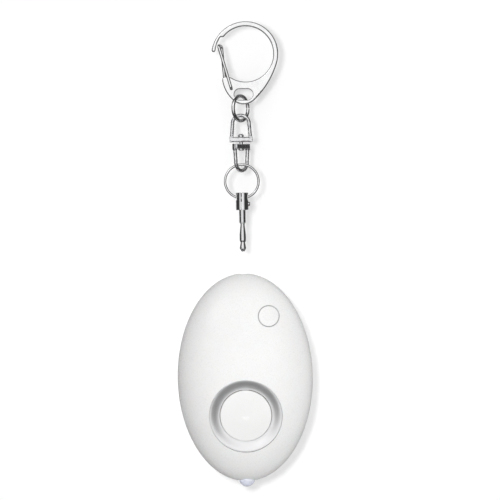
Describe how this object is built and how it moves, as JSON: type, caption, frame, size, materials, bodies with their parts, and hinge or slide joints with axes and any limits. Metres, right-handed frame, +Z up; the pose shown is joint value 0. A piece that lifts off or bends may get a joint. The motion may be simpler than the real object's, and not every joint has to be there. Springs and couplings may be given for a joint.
{
  "type": "personal safety alarm",
  "caption": "Egg-shaped pocket alarm with siren, torch button and LED; its pull pin hangs drawn out on a swivel key chain with a snap hook.",
  "frame": {"origin": "seat inside the top of the snap hook's loop, straight above the chain", "axes": "+Z up along the chain and the housing's length, +X to the right seen from the front, the siren and button face -Y"},
  "size_m": [0.0422, 0.022, 0.1457],
  "materials": {
    "nickel_plate": "bright nickel plating on cast zinc and wire",
    "spring_wire": "nickel plated spring wire",
    "chromed_tube": "polished chrome",
    "turned_pin": "polished plated steel, faint turning marks",
    "white_abs": "satin gloss moulded ABS",
    "white_disc": "satin gloss moulded ABS",
    "white_button": "satin gloss moulded ABS",
    "silver_ring": "satin silver lacquer on plastic",
    "clear_led": "clear epoxy with a faint violet cast",
    "zinc_screw": "zinc plated steel",
    "black_foam": "closed-cell foam",
    "black_plastic": "moulded black plastic",
    "brass_plate": "rolled brass",
    "silvered_ceramic": "silvered ceramic",
    "green_board": "green solder resist on glass fibre",
    "copper_coil": "enamelled copper wire on ferrite",
    "tinned_wire": "tinned steel",
    "red_wire": "PVC insulation",
    "cell_steel": "nickel plated cell can"
  },
  "bodies": {
    "hook": {"snap_hook": "nickel_plate"},
    "gate": {"gate_wire": "spring_wire"},
    "ring": {"jump_ring": "nickel_plate"},
    "upper_loop": {"swivel_upper": "nickel_plate"},
    "lower_loop": {"swivel_lower": "nickel_plate", "swivel_rivet": "nickel_plate"},
    "key_ring": {"split_ring": "spring_wire"},
    "pin": {"pin_ferrule": "chromed_tube", "crimp_rivet": "chromed_tube", "pull_pin": "turned_pin"},
    "housing": {"front_shell": "white_abs", "back_shell": "white_abs", "case_screws": "zinc_screw", "siren_ring": "silver_ring", "siren_disc": "white_disc", "siren_gasket": "black_foam", "piezo_plate": "brass_plate", "piezo_ceramic": "silvered_ceramic", "siren_chamber": "black_plastic", "circuit_board": "green_board", "button_switch": "black_plastic", "driver_chip": "black_plastic", "boost_coil": "copper_coil", "drive_transistor": "black_plastic", "chip_resistors": "black_plastic", "pin_socket": "brass_plate", "contact_right": "nickel_plate", "contact_left": "nickel_plate", "torch_led": "clear_led", "led_leads": "tinned_wire", "led_wires": "red_wire", "piezo_wires": "red_wire", "battery_plate": "tinned_wire", "battery_spring": "tinned_wire", "button_cell_low": "cell_steel", "button_cell_middle": "cell_steel", "button_cell_high": "cell_steel"},
    "button": {"torch_button": "white_button", "switch_plunger": "black_plastic"},
    "door": {"battery_door": "white_abs", "door_screws": "zinc_screw"}
  },
  "joints": [
    {"name": "gate_hinge", "type": "hinge", "parent": "hook", "child": "gate", "pos_m": [-0.00278, 0, -0.01927], "axis": [0, 1, 0], "range_deg": [0, 26], "stiffness_Nm_per_rad": 0.004, "springref_deg": -20.05},
    {"name": "ring_swing", "type": "hinge", "parent": "hook", "child": "ring", "pos_m": [0, 0, -0.02355], "axis": [1, 0, 0], "range_deg": [-15, 15]},
    {"name": "upper_loop_swing", "type": "hinge", "parent": "ring", "child": "upper_loop", "pos_m": [0, 0, -0.02935], "axis": [0.5878, 0.809, 0], "range_deg": [-15, 15]},
    {"name": "swivel_turn", "type": "hinge", "parent": "upper_loop", "child": "lower_loop", "pos_m": [0, 0, -0.03605], "axis": [0, 0, 1], "continuous": true},
    {"name": "key_ring_swing", "type": "hinge", "parent": "lower_loop", "child": "key_ring", "pos_m": [0, 0, -0.04495], "axis": [0.6691, 0.7431, 0], "range_deg": [-15, 15]},
    {"name": "pin_swing", "type": "hinge", "parent": "key_ring", "child": "pin", "pos_m": [0, 0, -0.05335], "axis": [1, 0, 0], "range_deg": [-25, 25]},
    {"name": "pin_slide", "type": "slide", "parent": "pin", "child": "housing", "axis": [0, 0, 1], "range_m": [0, 0.01965]},
    {"name": "button_press", "type": "slide", "parent": "housing", "child": "button", "axis": [0, 1, 0], "range_m": [0, 0.0006], "stiffness_N_per_m": 1500, "springref_m": -0.0006},
    {"name": "door_lift", "type": "slide", "parent": "housing", "child": "door", "axis": [0, 1, 0], "range_m": [0, 0.012]}
  ]
}
